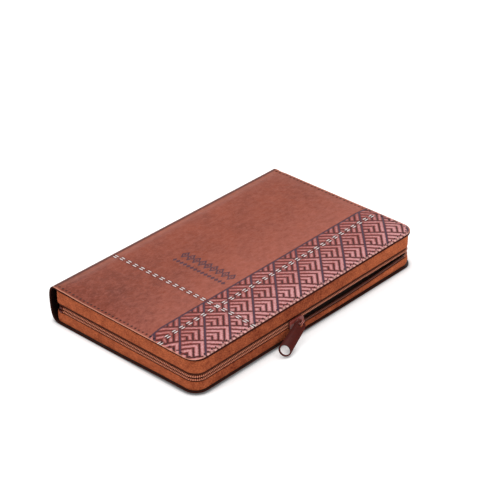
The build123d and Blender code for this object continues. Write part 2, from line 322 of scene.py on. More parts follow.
# lengths in mm; a span of four says where a change starts and ends, and its two amounts
leatherette = {
    "base": "#a04a2e",
    "dark": "#6c2b1a",
    "rose": "#ba6a59",
    "specular": 0.22,
    "roughness": 0.44,
    "grain": 0.7,  # of the embossed skin, a little coarse so that it shows
    "mottle": 20.0,
    "streakTurn": 0.12,
    "tailShade": (-20.0, -108.0, 0.0, -0.4),
    "lineGlow": (-20.0, 25.0, 0.0, 0.38),
    # a painted highlight along the rounded rim and the spine's shoulder, where they catch the
    # light
    "paleHighlight": "#dc9479",
    "rimHighlight": (1.2, 0.4, 0.0, 0.75),
    # the rim darkens: a burnished edge, partly painted contact shadow
    "burnishAndShade": "#1f0d09",
    "rimBurnAndShade": (1.3, 0.7, 0.0, 0.92),
    # edge paint, darkened partly as painted shade under the rim, and a near-black back as painted
    # shade inside the hollow spine
    "edgePaint": "#340e07",
    "turnedDown": (0.35, 0.6, 0.0, 0.9),
    "underside": "#0c0403",
    "backSide": (0.8, 1.0, 0.0, 0.95),
    "coverStart": -62.0,
    "ridge": "#4f1a0e",
    "ridgePlace": -61.5,
    "ridgeWidth": 2.4,
    "besideRidge": 3.4,
    "besideWidth": 3.6,
    "lineColour": "#3a2338",
    "linePlace": 24.3,
    "lineLean": -0.006,  # the line leans a little from tail to head
    "lineWidth": 1.4,
    # band colours: deep is painted shade beside the grooves, rose the painted highlight and sheen
    # on the pillows
    "bandDeep": "#7c2d27",
    "bandBase": "#ab5850",
    "bandRose": "#f4b8bb",
    "bandGlow": (26.0, 60.0, -0.28, 0.16),
    "pillow": (0.45, 1.5),
    "grooveColour": "#3a0606",
    # grooves that lean up are painted paler, as painted light from one side; this colour also
    # paints the shadow round the double stitches
    "slopeGroove": "#5e180f",
    "latticeColour": "#412f45",
    "latticeTop": (43.6, 100.3),
    "latticeSize": (21.97, 22.13),
    "latticeStep": 15.59,  # between parallel borders
    "chevronGap": 0.241,  # of a step
    "rungs": 3.5,  # chevrons in each lozenge, the last one being its border
    "grooveWidth": 0.95,
    "borderWidth": 1.25,
    "grooveBlur": 0.22,
    "lineBlur": 0.25,
    "bead": "#f4bcae",  # painted highlight on the rounded edge's swellings between its stitches
    "beadGap": "#5e261f",
    "beadSpan": (2.0, 1.3),  # inward from the fore edge
    "beadMiddle": 1.2,
    "beadSlant": 0.5,
    "beadPast": 2.0,  # the swellings end this far round each fore corner
}
ornament = {
    "left": -27.3, "right": 19.3, "stroke": 1.1,
    "solid": 0.75, "outline": 0.82, "seed": 0.2,  # shares of a full lozenge
    "rows": [
        {"row": -23.4, "half": 4.2, "count": 9, "filled": False},
        {"row": -32.3, "half": 2.1, "count": 15, "filled": True},
    ],
}


def laidOver(add, colour, share, over, strength=1.0):
    # one of the leather's colours laid over what is there, as far as share says
    if strength < 1:
        share = add("MULTIPLY", share, strength)
    return add("Mix RGBA", share, colour, leatherette[over])


def paintedStitchShadow(add, across, along, start, pitch, marks):
    # painted shadow round each double stitch of a row
    turn = add("DIVIDE", add("SUBTRACT", along, start), pitch)
    wide, long = stitching["stitchShadow"]
    side = softLine(add, add("ABSOLUTE", across), wide, stitching["stitchShadowBlur"])
    length = softLine(add, fromMark(add, turn, pitch), long, stitching["stitchShadowBlur"])
    within = add("LESS_THAN", apart(add, turn, (marks - 1) / 2), marks / 2)
    return add("MULTIPLY", add("MULTIPLY", side, length), within)


def lozengeRow(add, x, y, row, half, count, filled):
    # a chain of lozenges pressed into the skin, open or solid
    left, right = ornament["left"], ornament["right"]
    pitch = (right - left) / count
    turn = add("DIVIDE", add("SUBTRACT", x, left), pitch)
    aside = add("MULTIPLY_ADD", add("PINGPONG", turn, 0.5), -2.0, 1.0)
    up = add("DIVIDE", apart(add, y, row), half)
    reach = add("ADD", aside, up)
    slope = 1 / math.hypot(2 / pitch, 1 / half)

    def outside(size):
        # millimetres beyond a lozenge of this share of the full one
        over = add("MAXIMUM", add("SUBTRACT", reach, size), 0.0)
        return add("MULTIPLY", over, slope)

    if filled:
        shape = softLine(add, outside(ornament["solid"]), 0.5, 0.2)
    else:
        away = add("MULTIPLY", apart(add, reach, ornament["outline"]), slope)
        outline = softLine(add, away, ornament["stroke"], 0.25)
        shape = add("MAXIMUM", outline, softLine(add, outside(ornament["seed"]), 0.5, 0.25))
    pastLeft, beforeRight = add("GREATER_THAN", x, left), add("LESS_THAN", x, right)
    return add("MULTIPLY", shape, add("MULTIPLY", pastLeft, beforeRight))


def latticeBand(add, x, y, mottle, speck, colour):
    # crossed lines make lozenges, and chevrons nest in the head corner of each
    look = leatherette
    line = add("MULTIPLY_ADD", y, look["lineLean"], look["linePlace"])
    inBand = add("GREATER_THAN", x, line)
    across, along = [
        add("DIVIDE", add("SUBTRACT", place, top), size)
        for place, top, size in zip((x, y), look["latticeTop"], look["latticeSize"])]
    first = add("ADD", along, across)
    second = add("SUBTRACT", along, across)
    step = look["latticeStep"]
    firstAway, secondAway = fromMark(add, first, step), fromMark(add, second, step)
    firstBorder = softLine(add, firstAway, look["borderWidth"], look["grooveBlur"])
    secondBorder = softLine(add, secondAway, look["grooveWidth"], look["grooveBlur"])
    firstPart, secondPart = add("FRACT", first), add("FRACT", second)
    inward = add("SUBTRACT", 1.0, add("MAXIMUM", firstPart, secondPart))
    rung = add("DIVIDE", inward, look["chevronGap"])
    rungAway = fromMark(add, rung, step * look["chevronGap"])
    pastRungs = add("GREATER_THAN", rung, look["rungs"])
    rungAway = add("MULTIPLY_ADD", pastRungs, 9.0, rungAway)
    chevron = softLine(add, rungAway, look["grooveWidth"], look["grooveBlur"])
    groove = add("MAXIMUM", chevron, add("MAXIMUM", firstBorder, secondBorder))
    groove = add("MULTIPLY", groove, inBand)
    border = add("MULTIPLY", firstBorder, inBand)
    # between the grooves the skin stands up in pillows; their sides next to the grooves are
    # painted darker as shade, and their backs get a painted highlight, paler toward the fore edge
    # as a painted sheen
    nearest = add("MINIMUM", rungAway, add("MINIMUM", firstAway, secondAway))
    pillow = add("MapRange", nearest, *look["pillow"])
    toFore = add("MapRange", x, *look["bandGlow"])
    paintedSheen = add("MULTIPLY_ADD", speck, 1.4, add("MULTIPLY_ADD", pillow, 0.5, toFore))
    paintedSheen = add("ADD", paintedSheen, add("MULTIPLY_ADD", mottle, 0.7, -1.15))
    band = add("Mix RGBA", pillow, look["bandDeep"], look["bandBase"])
    colour = add("Mix RGBA", inBand, colour, laidOver(add, band, paintedSheen, "bandRose"))
    # the grooves that lean up get a paler colour: painted light from one side
    leansUp = add("GREATER_THAN", secondPart, firstPart)
    deep = add("Mix RGBA", leansUp, look["grooveColour"], look["slopeGroove"])
    colour = add("Mix RGBA", add("MULTIPLY", groove, 0.92), colour, deep)
    # one family of borders is laid over with a slate colour: partly their own colour, partly a
    # painted reflection in the glossy coat
    colour = laidOver(add, colour, border, "latticeColour", 0.7)
    edgeLine = softLine(add, apart(add, x, line), look["lineWidth"], look["lineBlur"])
    return colour, groove, edgeLine, add("MULTIPLY", pillow, inBand)


def sewnAndPressed(add, x, y, colour, edgeLine):
    # each double stitch gets a painted shadow round it; the line and the lozenges are pressed in
    # dark
    sew = stitching
    longPlace = add("MULTIPLY_ADD", y, sew["longLean"], sew["longRow"])
    longAcross = add("SUBTRACT", x, longPlace)
    stitchShadow = paintedStitchShadow(add, longAcross, y, sew["longStart"], sew["longPitch"], sew["longMarks"])
    crossAcross = add("SUBTRACT", y, sew["crossRow"])
    crossStitchShadow = paintedStitchShadow(
        add, crossAcross, x, sew["crossStart"], sew["crossPitch"], sew["crossMarks"])
    # painted shadow round the double stitches
    colour = laidOver(add, colour, add("MAXIMUM", stitchShadow, crossStitchShadow), "slopeGroove", 0.6)
    colour = laidOver(add, colour, edgeLine, "lineColour", 0.85)
    pressed = add("MAXIMUM", *[lozengeRow(add, x, y, **row) for row in ornament["rows"]])
    return laidOver(add, colour, pressed, "lineColour", 0.8), pressed


def foreBeads(add, x, y, speck, colour):
    # the fore edge swells between its stitches, and the tops of the swellings get a painted
    # highlight where the rounded edge catches the light
    look, fore = leatherette, case["fore"]
    runs = edgeRuns(stitching["edgeInset"])
    pitch = sum(runs) / int(sum(runs) / stitching["edgePitch"])
    firstStitch = -case["bendY"] - sum(runs[:2]) + 0.5 * pitch
    slant = add("MULTIPLY_ADD", x, look["beadSlant"], add("SUBTRACT", y, firstStitch))
    turn = add("SUBTRACT", slant, look["beadSlant"] * (fore - look["beadMiddle"]))
    turn = add("DIVIDE", turn, pitch)
    swell = add("MapRange", add("PINGPONG", turn, 0.5), 0.1, 0.3)
    onEdge = add("MapRange", x, *[fore - inset for inset in look["beadSpan"]])
    straight = add("LESS_THAN", add("ABSOLUTE", y), case["bendY"] + look["beadPast"])
    onEdge = add("MULTIPLY", onEdge, straight)
    bead = add("Mix RGBA", swell, look["beadGap"], look["bead"])
    share = add("MULTIPLY", onEdge, add("MULTIPLY_ADD", speck, 1.0, 0.02))
    return add("Mix RGBA", share, colour, bead), onEdge, add("MULTIPLY", onEdge, swell)


def spineCrease(add, x, colour):
    # darker along the top of the spine, and a painted highlight on its cover side, where the
    # rounded shoulder catches the light
    look = leatherette
    fromBeside = apart(add, x, look["ridgePlace"] + look["besideRidge"])
    beside = softLine(add, fromBeside, look["besideWidth"], 1.2)
    colour = laidOver(add, colour, beside, "paleHighlight", 0.12)
    ridge = softLine(add, apart(add, x, look["ridgePlace"]), look["ridgeWidth"], 0.5)
    return laidOver(add, colour, ridge, "ridge", 0.85)


def leatherFinish(name, banded):
    # polyurethane leatherette, embossed and rubbed: satin, mottled, with a fine pebble
    add = newMaterial(name)
    look = leatherette
    flat = millimetres(add, add("UVMap", uv_map="skin"))
    x = add("SeparateXYZ", flat)
    y = x.node.outputs["Y"]
    inward = rimDistance(add, x, y)
    depth = add("SeparateXYZ", millimetres(add, add("UVMap", uv_map="rim")))
    mottle = add("TexNoise", {
        "Vector": flat, "Scale": 1 / look["mottle"], "Detail": 5.0, "Roughness": 0.6})
    speck = add("TexNoise", {"Vector": flat, "Scale": 0.75, "Detail": 3.0, "Roughness": 0.7})
    streaks = add("Mapping", {
        "Vector": flat, "Rotation": (0, 0, look["streakTurn"]), "Scale": (1, 0.6, 1)})
    fine = add("TexNoise", {
        "Vector": streaks, "Scale": 0.3, "Detail": 6.0, "Roughness": 0.8, "Distortion": 0.2})
    toTail = add("MapRange", y, *look["tailShade"])
    # rosier toward the line: a painted sheen over the real streaks
    toLine = add("MapRange", x, *look["lineGlow"])
    tone = add("MULTIPLY_ADD", mottle, 1.1, add("MULTIPLY_ADD", speck, 0.6, toTail))
    tone = add("SUBTRACT", tone, 0.3)
    colour = add("Mix RGBA", tone, look["dark"], look["base"])
    rosy = add("MULTIPLY_ADD", fine, 1.7, add("SUBTRACT", toLine, 0.75))
    colour = laidOver(add, colour, rosy, "rose")
    pebble = add("TexVoronoi", {"Vector": flat, "Scale": 1 / look["grain"]})
    creases = add("TexNoise", {
        "Vector": flat, "Scale": 0.22, "Detail": 6.0, "Roughness": 0.6, "Distortion": 0.6})
    height = add("MULTIPLY_ADD", creases, 0.3, add("MULTIPLY", pebble, 0.05))
    # the outer rim is darker, a burnished edge and partly painted contact shadow; on the front
    # only at the spine
    burnishAndShadeShare = add("MapRange", inward, *look["rimBurnAndShade"])
    if banded:
        colour, groove, edgeLine, pillow = latticeBand(add, x, y, mottle, speck, colour)
        colour, pressed = sewnAndPressed(add, x, y, colour, edgeLine)
        colour, onEdge, bead = foreBeads(add, x, y, speck, colour)
        colour = spineCrease(add, x, colour)
        cut = add("MAXIMUM", add("MAXIMUM", groove, edgeLine), pressed)
        for shape, amount in ((cut, -0.35), (pillow, 0.15), (bead, 0.25)):
            height = add("MULTIPLY_ADD", shape, amount, height)
        # painted highlight along the rounded rim, where it catches the light; none on the spine or
        # on the fore edge's swellings
        rimLit = add("MapRange", inward, *look["rimHighlight"])
        rimLit = add("MULTIPLY", rimLit, add("GREATER_THAN", x, look["coverStart"]))
        rimLit = add("MULTIPLY", rimLit, add("SUBTRACT", 1.0, onEdge))
        colour = laidOver(add, colour, rimLit, "paleHighlight")
        burnishAndShadeShare = add("MULTIPLY", burnishAndShadeShare, add("LESS_THAN", x, look["coverStart"]))
    # the skin darkens where it turns down to the edge, partly edge paint and partly painted shade
    # under the rim, and its unseen back is painted near black as shade for the hollow spine
    colour = laidOver(add, colour, add("MapRange", depth, *look["turnedDown"]), "edgePaint")
    colour = laidOver(add, colour, add("MapRange", depth, *look["backSide"]), "underside")
    colour = laidOver(add, colour, burnishAndShadeShare, "burnishAndShade")
    return finishMaterial(
        add, (height, 0.9, 0.001), Base_Color=colour, Roughness=look["roughness"], IOR=1.5,
        Specular_IOR_Level=look["specular"])


def edgePaintFinish():
    # thick brown edge paint on the cut and turned edge: matt and nearly black, the near black
    # partly painted shade under the rim
    add = newMaterial("mattEdgePaintAndShade")
    flat = millimetres(add, add("UVMap", uv_map="skin"))
    cloud = add("TexNoise", {"Vector": flat, "Scale": 0.8, "Detail": 3.0})
    colour = add("Mix RGBA", cloud, "#1c0704", "#451408")
    return finishMaterial(
        add, (cloud, 0.5, 0.0003), Base_Color=colour, Roughness=0.8, IOR=1.5,
        Specular_IOR_Level=0.08)


waveTurn = 0.314     # a wave texture's scale for bands one unit apart


def clothFinish(name, base, light, thread, sheen, depth, axisTurn=0.6):
    # close twill of spun yarn: matt, slightly fuzzy, with a fine diagonal
    add = newMaterial(name)
    flat = millimetres(add)
    turned = add("Mapping", {"Vector": flat, "Rotation": (axisTurn, 0.55, 0.4)})
    twill = add("TexWave", {
        "Vector": turned, "Scale": waveTurn / thread, "Distortion": 1.2, "Detail": 2.0,
        "Detail Scale": 2.0}, bands_direction="Z", output="Fac")
    yarn = add("TexNoise", {
        "Vector": flat, "Scale": 0.9 / thread, "Detail": 4.0, "Roughness": 0.7})
    cloud = add("TexNoise", {
        "Vector": flat, "Scale": 0.16, "Detail": 6.0, "Roughness": 0.75, "Distortion": 0.3})
    # the cloth is painted paler toward the head and on the tail side: painted light
    along = add("SeparateXYZ", flat, output="Y")
    paintedLightToHead = add("MapRange", along, 10.0, 100.0, 0.0, 0.4)
    toTail = add("MapRange", along, -85.0, -105.0, 0.0, 0.2)
    tone = add("MULTIPLY_ADD", twill, 0.1, add("MULTIPLY_ADD", yarn, 1.6, -1.25))
    tone = add("MULTIPLY_ADD", cloud, 1.5, tone)
    tone = add("ADD", tone, add("ADD", paintedLightToHead, toTail))
    colour = add("Mix RGBA", tone, base, light)
    height = add("MULTIPLY_ADD", twill, depth, add("MULTIPLY", yarn, depth))
    return finishMaterial(
        add, (height, 0.8, 0.001), Base_Color=colour, Roughness=0.85, IOR=1.5,
        Specular_IOR_Level=0.15, Sheen_Weight=sheen, Sheen_Roughness=0.5, Sheen_Tint=light)


def coilFinish(name, sliding, dark="#8a3421", light="#f3a07c", turn=1.27):
    # extruded nylon wound in a coil: each rib gets a painted highlight, with painted shade between
    # the turns
    add = newMaterial(name)
    if sliding:    # the turns keep their places while the slider passes
        flat = millimetres(add)
    else:
        flat = millimetres(add, add("UVMap", uv_map="coil"))
    rib = add(
        "TexWave", {"Vector": flat, "Scale": waveTurn / turn, "Distortion": 0.0},
        bands_direction="Y" if sliding else "X", output="Fac")
    colour = add("Mix RGBA", add("POWER", rib, 1.3), dark, light)
    return finishMaterial(
        add, (rib, 1.0, 0.0006), Base_Color=colour, Roughness=0.45, IOR=1.53,
        Specular_IOR_Level=0.25)


def enamelFinish(name, dark, light, roughness, specular):
    # die-cast zinc under oxblood enamel: smooth and glossy, with a random cloud of paler tone
    add = newMaterial(name)
    cloud = add("TexNoise", {"Vector": millimetres(add), "Scale": 0.6, "Detail": 3.0})
    colour = add("Mix RGBA", cloud, dark, light)
    return finishMaterial(
        add, (cloud, 0.15, 0.0004), Base_Color=colour, Roughness=roughness, IOR=1.5,
        Specular_IOR_Level=specular)


def threadFinish(name, base, light, ply=0.5):
    # polyester sewing thread: satin, with the twist of its plies
    add = newMaterial(name)
    twist = add(
        "TexWave", {"Vector": millimetres(add), "Scale": waveTurn / ply, "Distortion": 0.3},
        bands_direction="DIAGONAL", output="Fac")
    colour = add("Mix RGBA", twist, base, light)
    return finishMaterial(
        add, (twist, 0.5, 0.0002), Base_Color=colour, Roughness=0.55, IOR=1.5,
        Specular_IOR_Level=0.3)


def paperFinish(name, base, dark, stain, sheet):
    # thin uncoated bible paper: matt, and stacked, so its stained edges show the leaves
    add = newMaterial(name)
    flat = millimetres(add)
    leaves = add("TexWave", {
        "Vector": flat, "Scale": waveTurn / sheet, "Distortion": 0.8, "Detail": 2.0},
        bands_direction="Z", output="Fac")
    fibre = add("TexNoise", {"Vector": flat, "Scale": 1.5, "Detail": 4.0})
    upward = add("SeparateXYZ", add("NewGeometry", output="True Normal"), output="Z")
    onEdge = add("LESS_THAN", add("ABSOLUTE", upward), 0.5)
    colour = add("Mix RGBA", add("MULTIPLY", fibre, 0.5), base, dark)
    edgeColour = add("Mix RGBA", leaves, stain[0], stain[1])
    colour = add("Mix RGBA", onEdge, colour, edgeColour)
    height = add("MULTIPLY", leaves, onEdge)
    return finishMaterial(add, (height, 0.4, 0.0003), Base_Color=colour, Roughness=0.8, IOR=1.45)


leatherFront = leatherFinish("embossedLeatherette", True)
leatherBack = leatherFinish("plainLeatherette", False)
edgePaint = edgePaintFinish()
gussetCloth = clothFinish("brushedTwillGusset", "#6c2611", "#cf6f45", 0.9, 0.1, 0.14)
liningCloth = clothFinish("wovenLining", "#3d1d13", "#5c3222", 0.5, 0.1, 0.06)
# the zip tape is near black: partly its own brown, partly painted shade in the recess behind the
# coil
tapeCloth = clothFinish("knittedZipTape", "#2b0e07", "#552716", 0.6, 0.15, 0.08, axisTurn=0.0)
nylonCoil = coilFinish("nylonZipCoil", False)
slidingCoil = coilFinish("nylonZipCoilSliding", True)
# a darker copy for the open stretch: painted shade on the parted rows
shadedOpenCoil = coilFinish("nylonZipCoilShaded", True, "#3a140d", "#8a4c38")
enamelledZinc = enamelFinish("oxbloodEnamelledZinc", "#3c0b06", "#5c1a0f", 0.35, 0.12)
# a paler copy of the enamel for the slider: painted light, and a paler one still as a painted
# highlight on its rounded edges
litSliderEnamel = enamelFinish("oxbloodEnamelPaintedLight", "#6a231b", "#96443a", 0.3, 0.3)
enamelEdgeHighlight = enamelFinish("enamelPaintedHighlight", "#b46a5e", "#e0a398", 0.35, 0.4)
whiteThread = threadFinish("whitePolyesterThread", "#d8cbc9", "#fbf5f3")
brownThread = threadFinish("brownPolyesterThread", "#1d0807", "#38130f")
# the page edges' stain and the endpapers are a guess, made near black as painted shade inside the
# open zip
leafPaper = paperFinish("bibleLeaves", "#f1ead9", "#d6cbb2", ("#140805", "#2a140d"), 0.35)
endPaper = paperFinish("brownEndpaper", "#3b2017", "#2a150e", ("#2a150e", "#1d0e09"), 0.6)
print("bible: finishes ready")

# CAD pieces that stay, by a word in their names
carried = {
    "leaves": leafPaper, "flyleaf": endPaper, "pastedown": endPaper, "zip_stops": enamelledZinc}
for piece in bpy.data.objects:
    for word, material in carried.items():
        if word in piece.name:
            for slot in piece.material_slots:
                slot.material = material

# outer line of the soft spine and the folds, in mm, from the middle of the spine
frontLine = [
    (-65.75, 13.5), (-65.93, 16.5), (-65.9, 19.5), (-65.55, 22.0), (-65.0, 24.0), (-64.1, 25.6),
    (-62.8, 26.6), (-61.2, 27.0), (-59.4, 27.0), (-57.6, 26.85), (-55.8, 26.75), (-53.8, 26.85),
    (-51.5, 27.0),
]
backLine = [
    (-65.75, 13.5), (-65.55, 11.0), (-65.2, 8.6), (-64.7, 6.2), (-63.95, 3.85), (-62.6, 2.0),
    (-60.8, 0.9), (-58.6, 0.35), (-56.0, 0.15), (-53.0, 0.12),
]
leatherCase = {
    "coverThickness": 2.05,
    "spineThickness": 1.1,
    "thinning": 8.0,  # the run over which the cover thins into the spine
    "thinStart": 2.0,
    "edgeRadius": 0.6,
    "rimThickness": {"upper": 1.7, "lower": 0.95},
    "rimFlat": 0.9,
    "rimCuts": (1.0, 2.4),
    "rollSteps": 26,
    "coverSteps": 14,
    "step": 6.0,
    "wave": 0.1,
    "waveLength": 34.0,
    "waveSeed": 3.0,
    "waveStart": 12.0,  # the skin is smooth at the spine and wavy from here on
    "crown": 1.3,  # the padded cover stands higher than its edges
    "crownWidth": 15.0,
    "crownStart": 10.0,
    "hingeSlope": 1.5,
    "tailDroop": 1.0,
    "droopRun": (10.0, 30.0),  # inward from the tail, and on from the hinge
    "rimLift": 1.3,  # the lower cover's free corner curls up off the table
    "curlWidth": 9.0,
    "curlAcross": (-20.0, 50.0),
    "curlAlong": (50.0, -50.0),
}


def unit(value):
    return min(max(value, 0), 1)


def between(value, start, end):
    # 0 before the start, 1 past the end, and a soft change from one to the other
    share = unit((value - start) / (end - start))
    return share * share * (3 - 2 * share)


def coverRise(x, y):
    # height of the upper cover's skin over its flat place
    look, hinge, tail = leatherCase, case["hinge"], -case["half"]
    inset = min(rimInset(x, y), look["hingeSlope"] * (x - hinge))
    rise = look["crown"] * math.sin(between(inset, 0, look["crownWidth"]) * math.pi / 2)
    inward, onward = look["droopRun"]
    droop = look["tailDroop"] * between(y, tail + inward, tail)
    return rise - droop * between(x, hinge, hinge + onward)


def rimCurl(x, y):
    # how far the lower cover's edge curls up, most at the free tail corner
    look = leatherCase
    lift = look["rimLift"] * between(rimInset(x, y), look["curlWidth"], 0)
    return lift * between(x, *look["curlAcross"]) * between(y, *look["curlAlong"])


def smoothLine(line):
    # a smooth line through the given points, and the length up to each of its own
    fine = []
    for i in range(len(line) - 1):
        p0 = Vector(line[max(i - 1, 0)])
        p1, p2 = Vector(line[i]), Vector(line[i + 1])
        p3 = Vector(line[min(i + 2, len(line) - 1)])
        for k in range(12):
            t = k / 12
            square = (2 * p0 - 5 * p1 + 4 * p2 - p3) * t * t
            cube = (3 * p1 - p0 - 3 * p2 + p3) * t * t * t
            fine.append(0.5 * (2 * p1 + (p2 - p0) * t + square + cube))
    fine.append(Vector(line[-1]))
    lengths = [0.0]
    for a, b in zip(fine, fine[1:]):
        lengths.append(lengths[-1] + (b - a).length)
    return fine, lengths


def rollPlace(line, u):
    # place and direction at a distance u along the line; past its end it runs straight
    fine, lengths = line
    if u >= lengths[-1]:
        return fine[-1] + Vector((u - lengths[-1], 0)), Vector((1, 0))
    for i in range(len(lengths) - 1):
        if u <= lengths[i + 1]:
            break
    share = (u - lengths[i]) / max(lengths[i + 1] - lengths[i], 1e-9)
    direction = (fine[i + 1] - fine[i]).normalized()
    return fine[i].lerp(fine[i + 1], share), direction


def cutAcross(bm, place, normal):
    everything = bm.verts[:] + bm.edges[:] + bm.faces[:]
    bmesh.ops.bisect_plane(bm, geom=everything, plane_co=place, plane_no=normal)


def coverOutline(bm, start, end, half, radius, segments):
    # flat, with its two round fore corners
    places = ((start, -half, 0), (end, -half, 0), (end, half, 0), (start, half, 0))
    corners = [bm.verts.new(place) for place in places]
    bm.faces.new(corners)
    bmesh.ops.bevel(
        bm, geom=corners[1:3], offset=radius, segments=segments, profile=0.5,
        affect="VERTICES", material=-1)


def thicken(bm, height):
    made = bmesh.ops.extrude_face_region(bm, geom=bm.faces[:], use_keep_orig=True)["geom"]
    moved = [g for g in made if isinstance(g, bmesh.types.BMVert)]
    bmesh.ops.translate(bm, verts=moved, vec=(0, 0, height))
    bmesh.ops.recalc_face_normals(bm, faces=bm.faces[:])


def makeCase(name, line, upper, material):
    # flat slab with rounded fore corners and turned edges, then rolled round the spine
    look, section = leatherCase, smoothLine(line)
    rolled = section[1][-1]
    width = rolled + case["fore"] - line[-1][0]
    half = case["half"]
    bm = bmesh.new()
    coverOutline(bm, 0, width, half, case["corner"], 8)
    rimCuts = look["rimCuts"]
    steps, coverSteps = look["rollSteps"], look["coverSteps"]
    cuts = [rolled * i / steps for i in range(1, steps + 1)]
    cuts += [rolled + (width - rolled) * i / coverSteps for i in range(1, coverSteps)]
    cuts += [width - inset for inset in reversed(rimCuts)]
    for u in cuts:
        cutAcross(bm, (u, 0, 0), (1, 0, 0))
    rows = int(2 * half / look["step"])
    places = [-half + 2 * half * i / rows for i in range(1, rows)]
    places += [side * (half - inset) for side in (-1, 1) for inset in rimCuts]
    for v in places:
        cutAcross(bm, (0, v, 0), (0, 1, 0))
    thick = look["coverThickness"]
    rimThick = look["rimThickness"]["upper" if upper else "lower"]
    thicken(bm, -thick)
    flush, sharp = 0.01, 1.2
    rim = []
    for edge in bm.edges:
        a, b = [vert.co for vert in edge.verts]
        if isFold(edge, sharp) and max(a.x, b.x) > flush and abs(a.z - b.z) < flush:
            rim.append(edge)
    bmesh.ops.bevel(
        bm, geom=rim, offset=look["edgeRadius"], segments=3, profile=0.5, affect="EDGES",
        material=-1, clamp_overlap=True)
    start = line[-1][0] - rolled
    for vert in bm.verts:
        u, v = vert.co.x, vert.co.y
        thinning = unit((rolled + look["thinStart"] - u) / look["thinning"])
        thinner = 1 - thinning * (1 - look["spineThickness"] / thick)
        flat, rimEnd = look["rimFlat"], rimCuts[1]
        lift = 1 - unit((rimInset(u + start, v) - flat) / (rimEnd - flat))
        vert.co.z *= thinner * (1 - lift * (1 - thinning) * (1 - rimThick / thick))
    skin = bm.loops.layers.uv.new("skin")
    rimLayer = bm.loops.layers.uv.new("rim")
    for face in bm.faces:
        for loop in face.loops:
            loop[skin].uv = ((loop.vert.co.x + start) * mm, loop.vert.co.y * mm)
            loop[rimLayer].uv = (-loop.vert.co.z * mm, 0)
        if abs(face.normal.z) < 0.5:
            face.material_index = 1
    turn = 1 if upper else -1
    waveLength = look["waveLength"]
    for vert in bm.verts:
        u, v, depth = vert.co.x, vert.co.y, -vert.co.z
        place, direction = rollPlace(section, u)
        inward = Vector((direction.y, -direction.x)) * turn
        wavePlace = Vector((u / waveLength, v / waveLength, look["waveSeed"] + turn))
        wave = look["wave"] * (0.5 + 0.5 * noise.noise(wavePlace))
        wave *= unit((u - rolled) / look["waveStart"])
        point = place + inward * (depth + wave)
        if u > rolled - look["crownStart"] and upper:
            point.y += coverRise(point.x, v) * max(1 - depth / thick, 0)
        elif u > rolled:
            point.y += rimCurl(point.x, v)
        vert.co = (point.x * mm, v * mm, point.y * mm)
    bmesh.ops.recalc_face_normals(bm, faces=bm.faces[:])
    return newPiece(name, bm, [material, edgePaint])


frontCase = makeCase("front_case_leather", frontLine, True, leatherFront)
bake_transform(frontCase)
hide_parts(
    "front_cover_leather", "front_fold_leather", "spine_leather", "front_cover_board")

backCase = makeCase("back_case_leather", backLine, False, leatherBack)
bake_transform(backCase)
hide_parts("back_cover_leather", "back_fold_leather", "spine_board", "back_cover_board")
print("bible: leather case done")

# every strip runs from a small curl at the spine, round the tail, the fore edge and the head
strips = {
    "gussetInset": 2.75,
    "chainInset": 2.0,
    "spineEnd": -60.4,
    "curlRadius": 2.6,
    "rowStart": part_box("upper_zip_teeth")[0].x / mm,
    "turnSteps": 10,
    "sideSteps": 6,
    "foreSteps": 12,
    "closedEnd": -17.5,  # where the rows start to part, inside the slider
    "nose": -8.0,
    "knots": [-8.0, 0.0, 15.0, 35.0, 60.0, 80.0, 98.0],
    "drops": [2.9, 3.08, 3.4, 3.6, 3.1, 2.2, 1.4],
    "floorLine": 2.0,  # where the lower strips are sewn to the back cover
}
# sections as (outward, height), once round the cloth with its folded hem
gussetUpper = [
    (0.95, 25.55), (1.4, 24.4), (1.6, 22.8), (1.62, 20.8), (1.6, 18.8), (1.58, 17.2), (1.6, 16.2),
    (1.5, 15.45), (1.2, 15.15), (0.86, 15.4), (0.8, 16.2), (0.85, 17.2), (1.0, 18.8), (1.05, 20.8),
    (0.95, 22.8), (0.7, 24.4), (0.4, 25.55),
]
gussetLower = [
    (0.5, 1.3), (0.85, 3.0), (0.95, 5.0), (0.9, 6.6), (0.8, 7.8), (0.86, 8.5), (1.18, 8.8),
    (1.5, 8.5), (1.6, 7.8), (1.58, 6.6), (1.6, 5.0), (1.45, 3.0), (1.15, 1.3),
]
tapeUpper = [(0.2, 13.2), (0.2, 19.0), (-0.25, 19.0), (-0.25, 13.2)]
tapeLower = [(-0.25, 3.6), (-0.25, 9.4), (0.2, 9.4), (0.2, 3.6)]
tapeInset = strips["chainInset"] + 0.25
coilSide = {"height": 0.64, "depth": 0.9, "points": 12, "upper": 12.45, "lower": 10.12}
# for each lower strip: the height that hangs the full drop, and the share of it that bows out
hanging = {"gusset": (8.75, 0.28), "tape": (9.4, 0.2), "coil": (11.3, 0.0)}


def closedLoop(bm, places):
    verts = [bm.verts.new(place) for place in places]
    return [bm.edges.new(pair) for pair in zip(verts, verts[1:] + verts[:1])]


def foreRing(bm, section, inset, y):
    # the section stood up at one place of the fore edge
    return closedLoop(bm, [(case["fore"] - inset + out, y, z) for out, z in section])


def endCap(bm, edges):
    bmesh.ops.contextual_create(bm, geom=edges)


def runOn(bm, edges, x, y, pieces=1):
    for _ in range(pieces):
        made = bmesh.ops.extrude_edge_only(bm, edges=edges)["geom"]
        verts = [g for g in made if isinstance(g, bmesh.types.BMVert)]
        moved = set(verts)
        edges = [
            g for g in made if isinstance(g, bmesh.types.BMEdge) and moved.issuperset(g.verts)]
        bmesh.ops.translate(bm, verts=verts, vec=(x / pieces, y / pieces, 0))
    return edges


